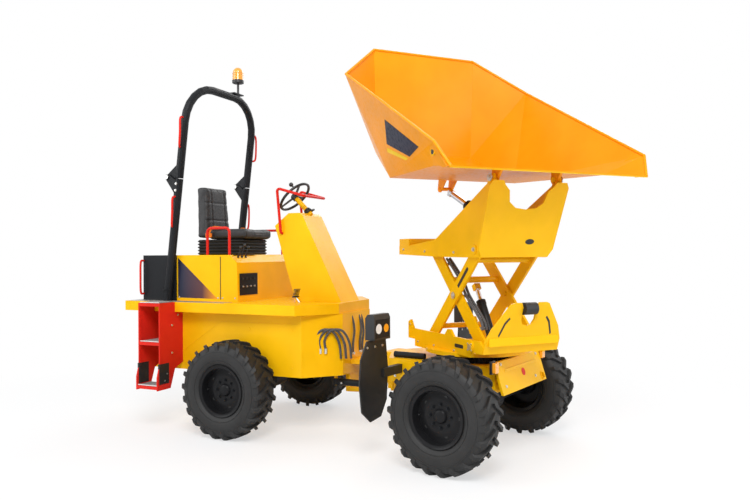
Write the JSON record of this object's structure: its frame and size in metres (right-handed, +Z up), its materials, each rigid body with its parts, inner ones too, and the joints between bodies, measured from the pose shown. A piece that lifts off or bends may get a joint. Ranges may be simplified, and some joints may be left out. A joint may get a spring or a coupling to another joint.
{
  "type": "site dumper",
  "caption": "Articulated site dumper with a driver's seat and folding roll bar behind, and a swivelling scissor-lift tipping skip in front, on four wheels.",
  "frame": {"origin": "centre of the footprint box, on the floor under the tyres", "axes": "+X forwards along the driver's unit, +Y to the driver's left, +Z up"},
  "size_m": [4.6382, 2.3662, 3.5293],
  "materials": {
    "yellow_paint": "glossy golden yellow enamel",
    "red_paint": "glossy red enamel",
    "charcoal_metal": "satin charcoal enamel",
    "tyre_rubber": "matt",
    "black_rubber": "matt",
    "seat_vinyl": "grained vinyl over foam",
    "chrome_rod": "polished",
    "amber_lens": "clear amber",
    "black_plastic": "textured"
  },
  "bodies": {
    "chassis": {"rear_chassis": "yellow_paint", "deck": "yellow_paint", "seat_box": "yellow_paint", "engine_block": "charcoal_metal", "ladder_right": "red_paint", "ladder_left": "red_paint", "rops_base": "charcoal_metal", "seat_bellows": "black_rubber", "seat_cushion": "seat_vinyl", "seat_back": "seat_vinyl", "console": "yellow_paint", "guard_rail": "red_paint", "seat_rail_right": "red_paint", "seat_rail_left": "red_paint", "rear_axle": "charcoal_metal"},
    "rops_hoop_folding": {"rops_hoop": "charcoal_metal", "beacon": "amber_lens"},
    "steering_wheel_body": {"steering_wheel": "black_plastic"},
    "pivot": {"pivot_block": "charcoal_metal"},
    "carrier": {"front_chassis": "yellow_paint", "front_axle": "charcoal_metal", "mudflap_right": "black_rubber", "mudflap_left": "black_rubber", "headlamp_right": "black_plastic", "headlamp_left": "black_plastic", "indicator_right": "amber_lens", "indicator_left": "amber_lens", "slew_ring": "charcoal_metal", "slew_cylinder": "charcoal_metal"},
    "table": {"swivel_frame": "yellow_paint", "bump_roller": "black_rubber"},
    "inner_scissor": {"inner_arms": "yellow_paint"},
    "outer_scissor": {"outer_arms": "yellow_paint"},
    "upper": {"upper_frame": "yellow_paint"},
    "skip": {"skip": "yellow_paint"},
    "lift_cylinder_barrel": {"lift_barrel": "charcoal_metal"},
    "lift_cylinder_ram": {"lift_rod": "chrome_rod"},
    "tip_cylinder_barrel": {"tip_barrel": "charcoal_metal"},
    "tip_cylinder_ram": {"tip_rod": "chrome_rod"},
    "steer_cylinder_barrel": {"steer_barrel": "charcoal_metal"},
    "steer_cylinder_ram": {"steer_rod": "chrome_rod"},
    "wheel_rear_right": {"tyre_rear_right": "tyre_rubber", "rim_rear_right": "charcoal_metal"},
    "wheel_rear_left": {"tyre_rear_left": "tyre_rubber", "rim_rear_left": "charcoal_metal"},
    "wheel_front_right": {"tyre_front_right": "tyre_rubber", "rim_front_right": "charcoal_metal"},
    "wheel_front_left": {"tyre_front_left": "tyre_rubber", "rim_front_left": "charcoal_metal"}
  },
  "joints": [
    {"name": "articulation", "type": "hinge", "parent": "chassis", "child": "pivot", "pos_m": [0.02089, 0.29314, 0], "axis": [0, 0, 1], "range_deg": [-22.7, 43.3]},
    {"name": "oscillation", "type": "hinge", "parent": "pivot", "child": "carrier", "pos_m": [0.02089, 0.29314, 0.5], "axis": [0.9839, -0.1788, 0], "range_deg": [-10, 10]},
    {"name": "swivel", "type": "hinge", "parent": "carrier", "child": "table", "pos_m": [1.00477, 0.11434, 0], "axis": [0, 0, 1], "range_deg": [-59, 121]},
    {"name": "lift", "type": "hinge", "parent": "table", "child": "inner_scissor", "pos_m": [1.33533, -0.17606, 0.9], "axis": [0.66, 0.7513, 0], "range_deg": [-29, 0]},
    {"name": "scissor_cross", "type": "hinge", "parent": "inner_scissor", "child": "outer_scissor", "pos_m": [1.06441, 0.06195, 1.26062], "axis": [0.66, 0.7513, 0], "range_deg": [0, 58]},
    {"name": "upper_frame_hinge", "type": "hinge", "parent": "outer_scissor", "child": "upper", "pos_m": [1.33533, -0.17606, 1.62125], "axis": [0.66, 0.7513, 0], "range_deg": [-29, 0]},
    {"name": "tip", "type": "hinge", "parent": "upper", "child": "skip", "pos_m": [1.51037, -0.32984, 2.13625], "axis": [0.66, 0.7513, 0], "range_deg": [-28, 27]},
    {"name": "lift_cylinder", "type": "hinge", "parent": "table", "child": "lift_cylinder_barrel", "pos_m": [1.18508, -0.04406, 0.885], "axis": [0.66, 0.7513, 0], "range_deg": [-37.1, 1]},
    {"name": "lift_ram", "type": "slide", "parent": "lift_cylinder_barrel", "child": "lift_cylinder_ram", "axis": [-0.3681, 0.3234, 0.8717], "range_m": [-0.0807, 0.002]},
    {"name": "tip_cylinder", "type": "hinge", "parent": "upper", "child": "tip_cylinder_barrel", "pos_m": [1.33533, -0.17606, 1.73625], "axis": [0.66, 0.7513, 0], "range_deg": [-30.4, 29.35]},
    {"name": "tip_ram", "type": "slide", "parent": "tip_cylinder_barrel", "child": "tip_cylinder_ram", "axis": [-0.6849, 0.6017, 0.4109], "range_m": [-0.2202, 0.2125]},
    {"name": "steer_cylinder", "type": "hinge", "parent": "chassis", "child": "steer_cylinder_barrel", "pos_m": [-0.27911, 0.07314, 0.46], "axis": [0, 0, 1], "range_deg": [-12.01, 22]},
    {"name": "steer_ram", "type": "slide", "parent": "steer_cylinder_barrel", "child": "steer_cylinder_ram", "axis": [0.9985, -0.0543, 0], "range_m": [-0.0816, 0.1538]},
    {"name": "rops_fold", "type": "hinge", "parent": "chassis", "child": "rops_hoop_folding", "pos_m": [-1.87911, 0.29314, 2.326], "axis": [0, 1, 0], "range_deg": [-120, 0]},
    {"name": "steering", "type": "hinge", "parent": "chassis", "child": "steering_wheel_body", "pos_m": [-0.82911, 0.29314, 2.14], "axis": [-0.7071, 0, 0.7071], "continuous": true},
    {"name": "wheel_rear_right", "type": "hinge", "parent": "chassis", "child": "wheel_rear_right", "pos_m": [-1.07211, -0.43186, 0.4225], "axis": [0, 1, 0], "continuous": true},
    {"name": "wheel_rear_left", "type": "hinge", "parent": "chassis", "child": "wheel_rear_left", "pos_m": [-1.07211, 1.01814, 0.4225], "axis": [0, 1, 0], "continuous": true},
    {"name": "wheel_front_right", "type": "hinge", "parent": "carrier", "child": "wheel_front_right", "pos_m": [0.96664, -0.6156, 0.4225], "axis": [0.1788, 0.9839, 0], "continuous": true},
    {"name": "wheel_front_left", "type": "hinge", "parent": "carrier", "child": "wheel_front_left", "pos_m": [1.22591, 0.81103, 0.4225], "axis": [0.1788, 0.9839, 0], "continuous": true}
  ],
  "couplings": [
    {"joint": "scissor_cross", "follows": "lift", "ratio": -2},
    {"joint": "upper_frame_hinge", "follows": "lift", "ratio": 1},
    {"joint": "lift_cylinder", "follows": "lift", "ratio": 1.245},
    {"joint": "lift_ram", "follows": "lift", "m_per_rad": 0.1554},
    {"joint": "tip_cylinder", "follows": "tip", "ratio": 1.05},
    {"joint": "tip_ram", "follows": "tip", "m_per_rad": 0.4466},
    {"joint": "steer_cylinder", "follows": "articulation", "ratio": 0.485},
    {"joint": "steer_ram", "follows": "articulation", "m_per_rad": 0.2008}
  ]
}
